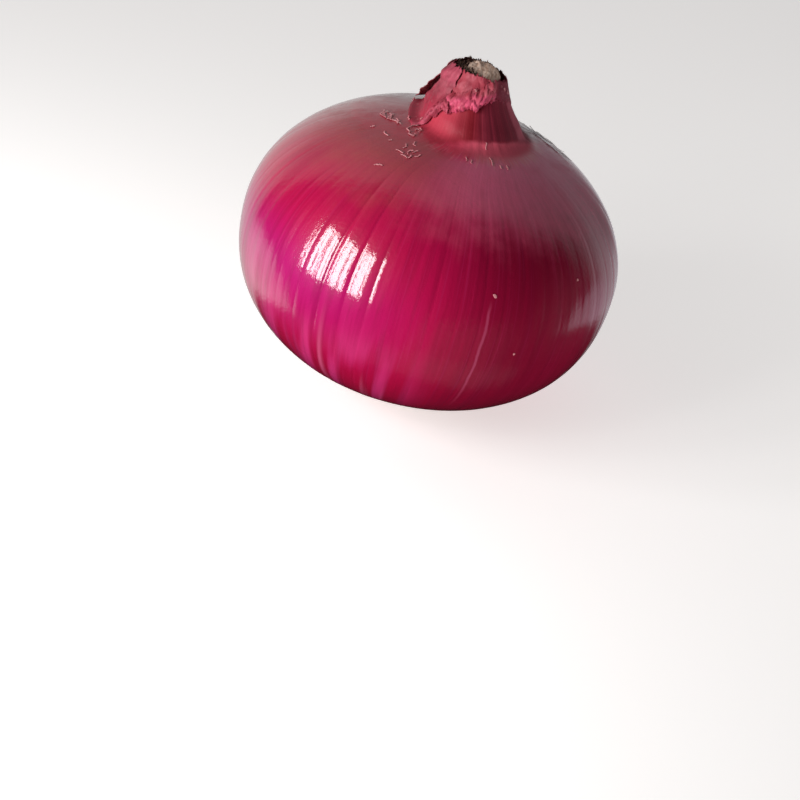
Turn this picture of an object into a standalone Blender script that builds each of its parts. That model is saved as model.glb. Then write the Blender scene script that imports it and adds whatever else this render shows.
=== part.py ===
# A red onion, whole, with the torn remains of its dry skin round the neck.
# It stands upright on its root plate. The origin is the middle of the flat spot
# that it rests on, +Z runs up through the neck, and the view of it is from -Y.

import math
import random

import bmesh
import bpy
from mathutils import Vector

MM = 0.001

# Bulb: a turned body, wider than it is tall. A fullness of 2 is an ellipse, and more is squarer.
BULB_RADIUS = 44.0 * MM
EQUATOR_HEIGHT = 35.8 * MM
LOWER_DEPTH = 33.2 * MM
UPPER_RISE = 31.8 * MM
LOWER_FULLNESS = 2.25
UPPER_FULLNESS = 2.13
LOWER_ROWS = 12
UPPER_ROWS = 9

# Ridges: the veins of the skin run from root to neck, with a flat between each two
RIDGE_COUNT = 48
RIDGE_JITTER = 0.26
RIDGE_LEAST = 0.10 * MM
RIDGE_MOST = 0.26 * MM
RIDGE_FADE_START = 9.0 * MM
RIDGE_FADE_END = 26.0 * MM
RIDGE_SEED = 11

# The bulb is a little out of round: (lobes, share of the radius, direction in degrees)
LOBES = ((2, 0.007, 40.0), (3, 0.005, -20.0))

# Neck: it rises off centre from the shoulder and leans back the other way
FLARE_RADIUS = 14.2 * MM
WAIST_RADIUS = 10.1 * MM
WAIST_HEIGHT = 70.4 * MM
LIP_RADIUS = 6.6 * MM
LIP_HEIGHT = 77.0 * MM
NECK_TAPER_CURVE = 0.85
FLARE_RUN = 0.78
FLARE_DROP = 0.45
FLARE_ROWS = 5
WALL_ROWS = 3
NECK_OFFSET = 2.2 * MM
NECK_LEAN = 0.21
NECK_LEAN_HEIGHT = 66.0 * MM
OFFSET_FADE_START = 26.0 * MM
OFFSET_FADE_END = 12.0 * MM

# Mouth of the neck, which holds the dried leaf ends
MOUTH_RADIUS = 5.0 * MM
MOUTH_FLOOR_HEIGHT = 73.0 * MM
LIP_ROUND = 0.7 * MM

# Dimple under the bulb, which holds the root plate
DIMPLE_RADIUS = 8.7 * MM
DIMPLE_TOP_RADIUS = 7.9 * MM
DIMPLE_TOP_HEIGHT = 5.3 * MM

# Dry skin left round the neck
SKIN_GAP = 0.35 * MM
SKIN_THICKNESS = 0.7 * MM

# Collar: the skin still wrapped round the neck, by angle from +X, in degrees
COLLAR_START = -126.0
COLLAR_END = 150.0
COLLAR_COLUMNS = 46
COLLAR_ROWS = 6
# The height of its torn lower edge and of its top edge at those angles
COLLAR_TORN_EDGE = (
    (-126, 71.6), (-105, 73.0), (-88, 74.3), (-62, 76.3),
    (-20, 75.2), (30, 73.0), (90, 74.6), (150, 72.4),
)
COLLAR_TOP_EDGE = (
    (-126, 80.6), (-90, 79.9), (-45, 79.3), (0, 78.7),
    (60, 79.0), (110, 79.8), (150, 80.2),
)
COLLAR_TATTER = 0.55 * MM
COLLAR_SEED = 5

# Flap: one torn lobe of skin at the left of the neck, splayed out down to the shoulder
FLAP_COLUMNS = 14
FLAP_ROWS = 14
FLAP_END = 230.0
FLAP_FOOT_START = 139.0
FLAP_TOP_START = 156.0
FLAP_EDGE_TURN = 0.7
FLAP_TORN_EDGE = ((139, 66.6), (150, 67.2), (172, 68.9), (200, 70.2), (230, 71.3))
FLAP_TOP_EDGE = ((139, 79.6), (180, 80.4), (230, 80.6))
FLAP_SPLAY = 3.9 * MM
FLAP_SPLAY_HEIGHT = 80.0 * MM
FLAP_SPLAY_FOOT = 66.5 * MM
FLAP_HUG_ANGLE = 178.0
FLAP_SLANT = 0.64
FLAP_TATTER = 0.45 * MM
FLAP_SEED = 8

# Dried leaf ends that stand in the mouth, cut short at a slant
TIP_LEAVES = 3
TIP_SLANT = 0.22
TIP_LOW_SIDE = -45.0
TIP_HEIGHT = 79.6 * MM
TIP_RADIUS = 4.6 * MM
TIP_COLUMNS = 24
TIP_STEP_DOWN = 0.5 * MM
TIP_GROOVE = 1.3 * MM
TIP_TATTER = 0.5 * MM
TIP_SEED = 3

# Root plate and the dried roots round its rim
PLATE_SPOT_RADIUS = 5.2 * MM
PLATE_RADIUS = 8.1 * MM
PLATE_TOP_RADIUS = 7.4 * MM
PLATE_SHOULDER_HEIGHT = 1.1 * MM
PLATE_WIDEST_HEIGHT = 2.5 * MM
PLATE_TOP_HEIGHT = 4.9 * MM
PLATE_COLUMNS = 24
ROOT_COUNT = 30
ROOT_SIDES = 5
ROOT_STEPS = 4
ROOT_RADIUS = 0.42 * MM
ROOT_TIP_SHARE = 0.7
ROOT_START = 5.6 * MM
ROOT_LEAST_REACH = 10.0 * MM
ROOT_MOST_REACH = 15.5 * MM
ROOT_FLOOR_GAP = 0.4 * MM
ROOT_SKIN_GAP = 0.45 * MM
ROOT_CURL = 26.0
ROOT_SEED = 21

MERGE = 0.001 * MM


def smooth(value, start, end):
    """0 at start, 1 at end and an even curve between."""
    share = min(1.0, max(0.0, (value - start) / (end - start)))
    return share * share * (3 - 2 * share)


def along(points, position):
    """The height in metres, read off points of (degrees, millimetres), with eased steps."""
    for (a, low), (b, high) in zip(points, points[1:]):
        if position <= b:
            return (low + (high - low) * smooth(position, a, b)) * MM
    return points[-1][1] * MM


def lower_height(radius):
    share = min(1.0, radius / BULB_RADIUS)
    return EQUATOR_HEIGHT - LOWER_DEPTH * (1 - share**LOWER_FULLNESS) ** (1 / LOWER_FULLNESS)


def upper_height(radius):
    share = min(1.0, radius / BULB_RADIUS)
    return EQUATOR_HEIGHT + UPPER_RISE * (1 - share**UPPER_FULLNESS) ** (1 / UPPER_FULLNESS)


def body_arc(first_radius, last_angle, rows, fullness, height_at):
    """Radii from first_radius out to the equator, spaced evenly by angle round the body."""
    first_angle = math.acos((first_radius / BULB_RADIUS) ** (fullness / 2))
    points = []
    for row in range(rows):
        angle = first_angle + (last_angle - first_angle) * row / rows
        radius = BULB_RADIUS * math.cos(angle) ** (2 / fullness)
        points.append((radius, height_at(radius)))
    return points


def bezier(points, share):
    """A point of the cubic curve through four control points."""
    a, b, c, d = (Vector(p) for p in points)
    rest = 1 - share
    return a * rest**3 + b * 3 * rest**2 * share + c * 3 * rest * share**2 + d * share**3


def flare_points():
    """From the shoulder up into the neck's wall, with the slope of each where it joins them."""
    step = 0.5 * MM
    start = (FLARE_RADIUS, upper_height(FLARE_RADIUS))
    slope = (upper_height(FLARE_RADIUS - step) - start[1]) / step
    run = (FLARE_RADIUS - WAIST_RADIUS) * FLARE_RUN
    pull = (start[0] - run, start[1] + slope * run)
    drop = (WAIST_HEIGHT - start[1]) * FLARE_DROP
    widening = WAIST_RADIUS - wall_radius(WAIST_HEIGHT + drop)
    lift = (WAIST_RADIUS + widening, WAIST_HEIGHT - drop)
    controls = (start, pull, lift, (WAIST_RADIUS, WAIST_HEIGHT))
    return [tuple(bezier(controls, row / FLARE_ROWS)) for row in range(FLARE_ROWS + 1)]


def wall_radius(height):
    """The neck's outer radius, from the waist up to the lip, and on up for the skin round it."""
    share = max(0.0, (height - WAIST_HEIGHT) / (LIP_HEIGHT - WAIST_HEIGHT))
    return WAIST_RADIUS + (LIP_RADIUS - WAIST_RADIUS) * share**NECK_TAPER_CURVE


def neck_radius(height):
    """The radius of the skin at a height on the neck or its flare."""
    flare = flare_points()
    for (outer, low), (inner, high) in zip(flare, flare[1:]):
        if height <= high:
            share = max(0.0, (height - low) / (high - low))
            return outer + (inner - outer) * share
    return wall_radius(height)


def bulb_profile():
    """The bulb's outline as (radius, height), from the dimple below, out and up, to the mouth."""
    dimple = [(0.0, DIMPLE_TOP_HEIGHT), (DIMPLE_TOP_RADIUS, DIMPLE_TOP_HEIGHT)]
    lower = body_arc(DIMPLE_RADIUS, 0.0, LOWER_ROWS, LOWER_FULLNESS, lower_height)
    upper = body_arc(FLARE_RADIUS, 0.0, UPPER_ROWS, UPPER_FULLNESS, upper_height)
    equator = [(BULB_RADIUS, EQUATOR_HEIGHT)]
    wall = []
    for row in range(1, WALL_ROWS + 1):
        height = WAIST_HEIGHT + (LIP_HEIGHT - WAIST_HEIGHT) * row / WALL_ROWS
        wall.append((wall_radius(height), height))
    mouth = [
        (LIP_RADIUS - LIP_ROUND * 0.6, LIP_HEIGHT + LIP_ROUND * 0.7),
        (MOUTH_RADIUS, LIP_HEIGHT),
        (MOUTH_RADIUS, MOUTH_FLOOR_HEIGHT),
        (0.0, MOUTH_FLOOR_HEIGHT),
    ]
    return dimple + lower + equator + upper[:0:-1] + flare_points() + wall + mouth


def neck_shift(radius, height):
    """How far the neck's offset and lean move a point along X."""
    offset = NECK_OFFSET * smooth(radius, OFFSET_FADE_START, OFFSET_FADE_END)
    if height < EQUATOR_HEIGHT:
        offset = 0.0
    return offset - NECK_LEAN * max(0.0, height - NECK_LEAN_HEIGHT)


def place(angle, radius, height):
    """A point on or near the skin: round the bulb's own axis, then shifted with the neck."""
    shift = neck_shift(radius, height)
    return Vector((shift + radius * math.cos(angle), radius * math.sin(angle), height))


def out_of_round(angle):
    return 1 + sum(size * math.cos(n * (angle - math.radians(turn))) for n, size, turn in LOBES)


def ridge_columns():
    """(angle, lift) of each column of points: every even one is a ridge, every odd one a valley."""
    draw = random.Random(RIDGE_SEED)
    step = 2 * math.pi / RIDGE_COUNT
    crests = [step * (i + draw.uniform(-RIDGE_JITTER, RIDGE_JITTER)) for i in range(RIDGE_COUNT)]
    lifts = [draw.uniform(RIDGE_LEAST, RIDGE_MOST) for _ in range(RIDGE_COUNT)]
    columns = []
    for i, crest in enumerate(crests):
        following = crests[i + 1] if i + 1 < RIDGE_COUNT else crests[0] + 2 * math.pi
        depth = (lifts[i] + lifts[(i + 1) % RIDGE_COUNT]) / 2
        columns.append((crest, lifts[i]))
        columns.append(((crest + following) / 2, -depth))
    return columns


def new_object(name, mesh, colour, roughness):
    """An object of that mesh, shaded smooth, with a plain material of its own."""
    thing = bpy.data.objects.new(name, mesh)
    bpy.context.scene.collection.objects.link(thing)
    material = bpy.data.materials.new(name)
    material.use_nodes = True
    shader = material.node_tree.nodes["Principled BSDF"]
    shader.inputs["Base Color"].default_value = (*colour, 1.0)
    shader.inputs["Roughness"].default_value = roughness
    shader.inputs["Metallic"].default_value = 0.0
    mesh.materials.append(material)
    mesh.shade_smooth()
    return thing


def finish_mesh(name, bm):
    """The closed mesh with its doubles merged and its faces pointing out."""
    bmesh.ops.remove_doubles(bm, verts=bm.verts, dist=MERGE)
    bmesh.ops.dissolve_degenerate(bm, edges=bm.edges, dist=MERGE)
    bmesh.ops.recalc_face_normals(bm, faces=bm.faces)
    mesh = bpy.data.meshes.new(name)
    bm.to_mesh(mesh)
    bm.free()
    return mesh


def turned(profile, columns):
    """The profile of (radius, height) spun about Z into a closed skin of that many columns."""
    bm = bmesh.new()
    verts = [bm.verts.new((radius, 0.0, height)) for radius, height in profile]
    edges = [bm.edges.new(pair) for pair in zip(verts, verts[1:])]
    bmesh.ops.spin(
        bm, geom=verts + edges, cent=(0, 0, 0), axis=(0, 0, 1),
        angle=2 * math.pi, steps=columns, use_merge=True, use_duplicate=False,
    )
    bmesh.ops.remove_doubles(bm, verts=bm.verts, dist=MERGE)
    return bm


def sheet(columns, rows, bend):
    """A thin block of columns by rows cells. bend takes across, up and through, each from 0 to 1."""
    bm = bmesh.new()
    bmesh.ops.create_grid(bm, x_segments=columns, y_segments=rows, size=0.5)
    grown = bmesh.ops.extrude_face_region(bm, geom=bm.faces[:])["geom"]
    outer = [item for item in grown if isinstance(item, bmesh.types.BMVert)]
    bmesh.ops.translate(bm, verts=outer, vec=(0, 0, 1))
    for vert in bm.verts:
        vert.co = bend(vert.co.x + 0.5, vert.co.y + 0.5, vert.co.z)
    return bm


def tatter(seed, count, size):
    """A list of ragged steps from -size to size, one for each column and one more."""
    draw = random.Random(seed)
    return [draw.uniform(-size, size) for _ in range(count + 1)]


def make_bulb():
    columns = ridge_columns()
    bm = turned(bulb_profile(), len(columns))
    step = 2 * math.pi / len(columns)
    for vert in bm.verts:
        radius = math.hypot(vert.co.x, vert.co.y)
        height = vert.co.z
        index = round(math.atan2(vert.co.y, vert.co.x) / step) % len(columns)
        angle, lift = columns[index]
        fade = smooth(radius, RIDGE_FADE_START, RIDGE_FADE_END)
        round_share = smooth(radius, FLARE_RADIUS, OFFSET_FADE_START)
        even_angle = index * step
        angle = even_angle + (angle - even_angle) * fade
        radius *= 1 + (out_of_round(angle) - 1) * round_share
        vert.co = place(angle, radius + lift * fade, height)
    return new_object("bulb", finish_mesh("bulb", bm), (0.42, 0.012, 0.10), 0.22)


def make_collar():
    torn = tatter(COLLAR_SEED, COLLAR_COLUMNS, COLLAR_TATTER)
    top = tatter(COLLAR_SEED + 1, COLLAR_COLUMNS, COLLAR_TATTER)

    def bend(across, up, through):
        column = round(across * COLLAR_COLUMNS)
        degrees = COLLAR_START + (COLLAR_END - COLLAR_START) * across
        low = along(COLLAR_TORN_EDGE, degrees) + torn[column]
        high = along(COLLAR_TOP_EDGE, degrees) + top[column]
        height = low + (high - low) * up
        radius = neck_radius(height) + SKIN_GAP + SKIN_THICKNESS * through
        return place(math.radians(degrees), radius, height)

    bm = sheet(COLLAR_COLUMNS, COLLAR_ROWS, bend)
    return new_object("neck_collar", finish_mesh("neck_collar", bm), (0.46, 0.05, 0.11), 0.5)


def make_flap():
    torn = tatter(FLAP_SEED, FLAP_COLUMNS, FLAP_TATTER)
    top = tatter(FLAP_SEED + 1, FLAP_COLUMNS, FLAP_TATTER)

    def bend(across, up, through):
        column = round(across * FLAP_COLUMNS)
        start = FLAP_FOOT_START + (FLAP_TOP_START - FLAP_FOOT_START) * smooth(up, 0.0, FLAP_EDGE_TURN)
        degrees = start + (FLAP_END - start) * across
        low = along(FLAP_TORN_EDGE, degrees) + torn[column]
        high = along(FLAP_TOP_EDGE, degrees) + top[column]
        height = low + (high - low) * up
        splay = smooth(height, FLAP_SPLAY_HEIGHT, FLAP_SPLAY_FOOT)
        splay *= smooth(degrees, FLAP_END, FLAP_HUG_ANGLE)
        radius = neck_radius(height) + SKIN_GAP + FLAP_SPLAY * splay
        upward = FLAP_SLANT * splay
        radius += SKIN_THICKNESS * through * math.sqrt(1 - upward**2)
        height += SKIN_THICKNESS * through * upward
        return place(math.radians(degrees), radius, height)

    bm = sheet(FLAP_COLUMNS, FLAP_ROWS, bend)
    return new_object("skin_flap", finish_mesh("skin_flap", bm), (0.50, 0.09, 0.13), 0.5)


def tip_profile():
    """Rings of dried leaf ends, one inside the other, as (radius, height) from the outside in."""
    points = [(0.0, MOUTH_FLOOR_HEIGHT + SKIN_GAP), (TIP_RADIUS, MOUTH_FLOOR_HEIGHT + SKIN_GAP)]
    ring = TIP_RADIUS / TIP_LEAVES
    for leaf in range(TIP_LEAVES):
        outer = TIP_RADIUS - ring * leaf
        crest = TIP_HEIGHT - TIP_STEP_DOWN * leaf
        points.append((outer, crest))
        points.append((outer - ring * 0.5, crest))
        points.append((outer - ring * 0.75, crest - TIP_GROOVE))
    points[-1] = (0.0, points[-1][1])
    return points


def make_tip():
    bm = turned(tip_profile(), TIP_COLUMNS)
    ragged = tatter(TIP_SEED, TIP_COLUMNS, TIP_TATTER)
    step = 2 * math.pi / TIP_COLUMNS
    for vert in bm.verts:
        radius = math.hypot(vert.co.x, vert.co.y)
        angle = math.atan2(vert.co.y, vert.co.x)
        height = vert.co.z
        if height > LIP_HEIGHT:
            height += ragged[round(angle / step) % TIP_COLUMNS] * radius / TIP_RADIUS
            height -= TIP_SLANT * radius * math.cos(angle - math.radians(TIP_LOW_SIDE))
        vert.co = place(angle, radius, height)
    return new_object("neck_tip", finish_mesh("neck_tip", bm), (0.30, 0.21, 0.12), 0.85)


def root_line(draw, angle):
    """The points that one dried root follows, from inside the plate's rim outwards."""
    reach = draw.uniform(ROOT_LEAST_REACH, ROOT_MOST_REACH)
    curl = math.radians(draw.uniform(-ROOT_CURL, ROOT_CURL))
    level = draw.uniform(0.1, 0.9)
    line = []
    for step in range(ROOT_STEPS + 1):
        share = step / ROOT_STEPS
        radius = ROOT_START + (reach - ROOT_START) * share
        low = ROOT_FLOOR_GAP + ROOT_RADIUS
        high = lower_height(max(radius, DIMPLE_RADIUS)) - ROOT_SKIN_GAP - ROOT_RADIUS
        height = low + (high - low) * (0.5 + (level - 0.5) * share)
        line.append(Vector((radius * math.cos(angle + curl * share**2),
                            radius * math.sin(angle + curl * share**2), height)))
    return line


def make_root(draw, index):
    """One dried root: a few-sided tube that narrows to its cut end."""
    line = root_line(draw, 2 * math.pi * (index + draw.uniform(-0.3, 0.3)) / ROOT_COUNT)
    bm = bmesh.new()
    rings = []
    for step, point in enumerate(line):
        ahead = line[min(step + 1, ROOT_STEPS)] - line[max(step - 1, 0)]
        turn = ahead.to_track_quat("Z", "Y")
        radius = ROOT_RADIUS * (1 + (ROOT_TIP_SHARE - 1) * step / ROOT_STEPS)
        ring = bmesh.ops.create_circle(bm, segments=ROOT_SIDES, radius=radius)["verts"]
        for vert in ring:
            vert.co = point + turn @ vert.co
        edges = {edge for vert in ring for edge in vert.link_edges}
        rings.append((ring, edges))
    for (_, near), (_, far) in zip(rings, rings[1:]):
        bmesh.ops.bridge_loops(bm, edges=list(near | far))
    for ring, _ in (rings[0], rings[-1]):
        bm.faces.new(ring)
    return finish_mesh("root", bm)


def make_root_plate():
    """The corky plate under the bulb, flat where it stands, joined with its roots."""
    profile = [
        (0.0, 0.0),
        (PLATE_SPOT_RADIUS, 0.0),
        (PLATE_RADIUS - 0.6 * MM, PLATE_SHOULDER_HEIGHT),
        (PLATE_RADIUS, PLATE_WIDEST_HEIGHT),
        (PLATE_TOP_RADIUS, PLATE_TOP_HEIGHT),
        (0.0, PLATE_TOP_HEIGHT),
    ]
    mesh = finish_mesh("root_plate", turned(profile, PLATE_COLUMNS))
    plate = new_object("root_plate", mesh, (0.36, 0.24, 0.13), 0.9)
    draw = random.Random(ROOT_SEED)
    roots = bpy.data.collections.new("roots")
    bpy.context.scene.collection.children.link(roots)
    for index in range(ROOT_COUNT):
        root = bpy.data.objects.new(f"root_{index:02d}", make_root(draw, index))
        roots.objects.link(root)
    union = plate.modifiers.new("join roots", "BOOLEAN")
    union.operation = "UNION"
    union.operand_type = "COLLECTION"
    union.collection = roots
    union.solver = "EXACT"
    union.use_self = True
    bpy.context.view_layer.objects.active = plate
    bpy.ops.object.modifier_apply(modifier=union.name)
    for root in list(roots.objects):
        bpy.data.objects.remove(root)
    bpy.data.collections.remove(roots)
    return plate


def main():
    for thing in list(bpy.data.objects):
        bpy.data.objects.remove(thing)
    make_bulb()
    make_collar()
    make_flap()
    make_tip()
    make_root_plate()


main()
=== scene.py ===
# A red onion: glossy veined skin, dry skin torn round the neck, dried leaf ends and roots.
# It stands on its root plate at the origin. The camera is rolled, so it leans in the picture.

import math
import random

import bpy
from mathutils import Matrix, Vector, noise


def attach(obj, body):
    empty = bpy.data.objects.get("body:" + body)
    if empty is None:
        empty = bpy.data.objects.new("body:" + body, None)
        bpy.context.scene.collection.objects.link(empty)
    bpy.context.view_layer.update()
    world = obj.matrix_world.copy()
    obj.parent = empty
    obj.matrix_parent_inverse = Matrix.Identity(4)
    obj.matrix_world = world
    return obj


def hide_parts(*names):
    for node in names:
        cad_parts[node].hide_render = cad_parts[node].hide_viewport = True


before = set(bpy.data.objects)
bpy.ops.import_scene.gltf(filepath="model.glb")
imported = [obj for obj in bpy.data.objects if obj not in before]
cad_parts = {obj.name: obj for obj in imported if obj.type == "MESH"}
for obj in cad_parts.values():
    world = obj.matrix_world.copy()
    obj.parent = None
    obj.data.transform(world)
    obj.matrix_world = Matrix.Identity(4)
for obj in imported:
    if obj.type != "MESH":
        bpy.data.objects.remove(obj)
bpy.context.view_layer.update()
mm = 0.001

# the turned form, the same values that the solids are made from
form = {
    "radius": 44.0 * mm, "equator": 35.8 * mm, "depth": 33.2 * mm, "rise": 31.8 * mm,
    "lowerFullness": 2.25, "upperFullness": 2.13,
    "flareRadius": 14.2 * mm, "flareRun": 0.78, "flareDrop": 0.45, "flareRows": 12,
    "waistRadius": 10.1 * mm, "waistHeight": 70.4 * mm,
    "lipRadius": 6.6 * mm, "lipHeight": 77.0 * mm, "lipRound": 0.7 * mm, "taperCurve": 0.85,
    "neckOffset": 2.2 * mm, "neckLean": 0.21, "leanHeight": 66.0 * mm,
    "offsetFade": (26.0 * mm, 12.0 * mm),
    "mouthRadius": 5.0 * mm, "mouthFloor": 73.0 * mm,
    "crown": 1.0 * mm, "crownRise": (74.0 * mm, 80.5 * mm),
    "dimpleRadius": 8.7 * mm, "dimpleTopRadius": 7.9 * mm, "dimpleTop": 5.3 * mm,
    "lobes": ((2, 0.007, 40.0), (3, 0.005, -20.0)),   # waves round the bulb, share of its radius, degrees
}


def smooth(value, start, end):
    share = min(1.0, max(0.0, (value - start) / (end - start)))
    return share * share * (3 - 2 * share)


def along(points, position):
    # eased steps between (degrees, millimetres), in metres
    for (a, low), (b, high) in zip(points, points[1:]):
        if position <= b:
            return (low + (high - low) * smooth(position, a, b)) * mm
    return points[-1][1] * mm


def lowerHeight(radius):
    share = min(1.0, radius / form["radius"])
    fullness = form["lowerFullness"]
    return form["equator"] - form["depth"] * (1 - share**fullness) ** (1 / fullness)


def upperHeight(radius):
    share = min(1.0, radius / form["radius"])
    fullness = form["upperFullness"]
    return form["equator"] + form["rise"] * (1 - share**fullness) ** (1 / fullness)


def bodyArc(firstRadius, rows, fullness, heightAt):
    firstAngle = math.acos((firstRadius / form["radius"]) ** (fullness / 2))
    points = []
    for row in range(rows):
        angle = firstAngle * (1 - row / rows)
        radius = form["radius"] * math.cos(angle) ** (2 / fullness)
        points.append((radius, heightAt(radius)))
    return points


def wallRadius(height):
    share = max(0.0, (height - form["waistHeight"]) / (form["lipHeight"] - form["waistHeight"]))
    return form["waistRadius"] + (form["lipRadius"] - form["waistRadius"]) * share ** form["taperCurve"]


def flarePoints():
    step = 0.5 * mm
    radius, height = form["flareRadius"], upperHeight(form["flareRadius"])
    slope = (upperHeight(radius - step) - height) / step
    run = (radius - form["waistRadius"]) * form["flareRun"]
    drop = (form["waistHeight"] - height) * form["flareDrop"]
    widening = form["waistRadius"] - wallRadius(form["waistHeight"] + drop)
    controls = [
        Vector((radius, height)),
        Vector((radius - run, height + slope * run)),
        Vector((form["waistRadius"] + widening, form["waistHeight"] - drop)),
        Vector((form["waistRadius"], form["waistHeight"])),
    ]
    points = []
    for row in range(form["flareRows"] + 1):
        t = row / form["flareRows"]
        a, b, c, d = controls
        point = a * (1 - t) ** 3 + b * 3 * (1 - t) ** 2 * t + c * 3 * (1 - t) * t**2 + d * t**3
        points.append((point.x, point.y))
    return points


flare = flarePoints()


def neckRadius(height):
    for (outer, low), (inner, high) in zip(flare, flare[1:]):
        if height <= high:
            return outer + (inner - outer) * max(0.0, (height - low) / (high - low))
    return wallRadius(height)


def neckShift(radius, height):
    offset = form["neckOffset"] * smooth(radius, *form["offsetFade"])
    if height < form["equator"]:
        offset = 0.0
    lean = form["neckLean"] * max(0.0, height - form["leanHeight"])
    return offset - lean + form["crown"] * smooth(height, *form["crownRise"])


def place(angle, radius, height):
    return Vector((neckShift(radius, height) + radius * math.cos(angle), radius * math.sin(angle), height))


def outOfRound(angle):
    return 1 + sum(size * math.cos(n * (angle - math.radians(turn))) for n, size, turn in form["lobes"])


def wander(angle, height, around, up, seed=0.0):
    # smooth noise that closes on itself round the axis, about -1 to 1
    return noise.noise(Vector((math.cos(angle) * around, math.sin(angle) * around + seed, height * up)))


# modelling helpers
def deselect():
    if bpy.context.object and bpy.context.object.mode != "OBJECT":
        bpy.ops.object.mode_set(mode="OBJECT")
    bpy.ops.object.select_all(action="DESELECT")


def turnedPiece(name, outline, steps):
    # one vertex is drawn along the outline, then spun round Z
    deselect()
    bpy.ops.mesh.primitive_plane_add(size=mm, location=(0, 0, 0))
    piece = bpy.context.object
    piece.name = piece.data.name = name
    bpy.ops.object.mode_set(mode="EDIT")
    bpy.ops.mesh.merge(type="CENTER")
    here = Vector((0, 0, 0))
    for i, (radius, height) in enumerate(outline):
        there = Vector((radius, 0, height))
        if i == 0:
            bpy.ops.transform.translate(value=there)
        else:
            bpy.ops.mesh.extrude_region_move(TRANSFORM_OT_translate={"value": there - here})
        here = there
    bpy.ops.mesh.select_all(action="SELECT")
    bpy.ops.mesh.spin(steps=steps, angle=2 * math.pi, center=(0, 0, 0), axis=(0, 0, 1))
    bpy.ops.mesh.select_all(action="SELECT")
    bpy.ops.mesh.remove_doubles(threshold=0.002 * mm)
    bpy.ops.mesh.normals_make_consistent(inside=False)
    bpy.ops.object.mode_set(mode="OBJECT")
    return piece


def sheetPiece(name, columns, rows, shape, thickness):
    # a grid bent by shape(across, up), which gives the place and what the material reads there
    deselect()
    bpy.ops.mesh.primitive_grid_add(x_subdivisions=columns, y_subdivisions=rows, size=1, location=(0, 0, 0))
    piece = bpy.context.object
    piece.name = piece.data.name = name
    marks = []
    for vert in piece.data.vertices:
        vert.co, mark = shape(vert.co.x + 0.5, vert.co.y + 0.5)
        marks.append(mark)
    addMarks(piece, "spot", marks)
    bpy.ops.object.modifier_add(type="SOLIDIFY")
    wall = piece.modifiers[-1]
    wall.thickness = thickness
    wall.offset = 1
    bpy.ops.object.modifier_apply(modifier=wall.name)
    return piece


def addMarks(piece, name, vectors):
    attribute = piece.data.attributes.new(name, "FLOAT_VECTOR", "POINT")
    attribute.data.foreach_set("vector", [number for vector in vectors for number in vector])


def finishPiece(piece, material, slotName, *nodes):
    piece.data.materials.clear()
    piece.data.materials.append(material)
    deselect()
    piece.select_set(True)
    bpy.context.view_layer.objects.active = piece
    bpy.ops.object.shade_smooth()
    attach(piece, "root")
    if nodes:
        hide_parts(*nodes)
    print(piece.name, len(piece.data.polygons), "faces")
    return piece


# material helpers
def colour(hexCode):
    parts = [int(hexCode[i:i + 2], 16) / 255 for i in (1, 3, 5)]
    return (*[c / 12.92 if c <= 0.04045 else ((c + 0.055) / 1.055) ** 2.4 for c in parts], 1.0)


def plug(tree, value, socket):
    # sets a socket to a value, or links it to a node's first live output or to (node, output name)
    node, name = value if isinstance(value, tuple) and isinstance(value[0], bpy.types.Node) else (value, None)
    if isinstance(node, bpy.types.Node):
        output = node.outputs[name] if name else next(s for s in node.outputs if s.enabled)
        tree.links.new(output, socket)
    else:
        socket.default_value = value


def addNode(tree, kind, inputs=None, **settings):
    node = tree.nodes.new("ShaderNode" + kind)
    for name, value in settings.items():
        setattr(node, name, value)
    for name, value in (inputs or {}).items():
        plug(tree, value, node.inputs[name])
    return node


def makeMasks(tree, ranges):
    # each mask rises smoothly from 0 to 1 as its value goes from the first number to the second
    masks = {}
    for name, (value, start, end) in ranges.items():
        masks[name] = addNode(tree, "MapRange", {"Value": value, "From Min": start, "From Max": end},
                              interpolation_type="SMOOTHSTEP")
    return masks


def layerPaint(tree, base, layers):
    # each layer is a colour, how strong it is, and the masks it shows through
    paint = colour(base)
    for shade, share, *over in layers:
        for mask in over:
            share = addNode(tree, "Math", {0: share, 1: mask}, operation="MULTIPLY")
        paint = addNode(tree, "Mix", {0: share, 6: paint, 7: colour(shade)}, data_type="RGBA")
    return paint


def startMaterial(name, **scalars):
    material = bpy.data.materials.new(name)
    material.use_nodes = True
    shader = material.node_tree.nodes["Principled BSDF"]
    for key, value in scalars.items():
        shader.inputs[key.replace("_", " ")].default_value = value
    return material, material.node_tree, shader


# photograph: where the camera stands, in degrees, metres and pixels
photo = {
    "pixels": 800,
    "fieldOfView": 30.0,
    "elevation": 26.16,
    "roll": 16.3,
    "distance": 350.6 * mm,
    "aimPixel": (429.56, 245.7),
    "sensor": 36.0,
}


def makeCamera(p):
    half = p["pixels"] / 2
    focal = half / math.tan(math.radians(p["fieldOfView"] / 2))
    tilt = Matrix.Rotation(math.radians(90 - p["elevation"]), 3, "X")
    turn = tilt @ Matrix.Rotation(math.radians(p["roll"]), 3, "Z")
    stand = turn @ Vector((0, 0, 1)) * p["distance"] + Vector((0, 0, form["equator"]))
    ray = Vector(((p["aimPixel"][0] - half) / focal, (half - p["aimPixel"][1]) / focal, -1)).normalized()
    turn = turn @ ray.rotation_difference(Vector((0, 0, -1))).to_matrix()
    deselect()
    bpy.ops.object.camera_add()
    camera = bpy.context.object
    camera.matrix_world = Matrix.Translation(stand) @ turn.to_4x4()
    camera.data.sensor_width = p["sensor"]
    camera.data.lens = p["sensor"] * focal / p["pixels"]
    camera.data.clip_start = 10 * mm
    bpy.context.scene.camera = camera


makeCamera(photo)
print("camera placed")

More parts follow.
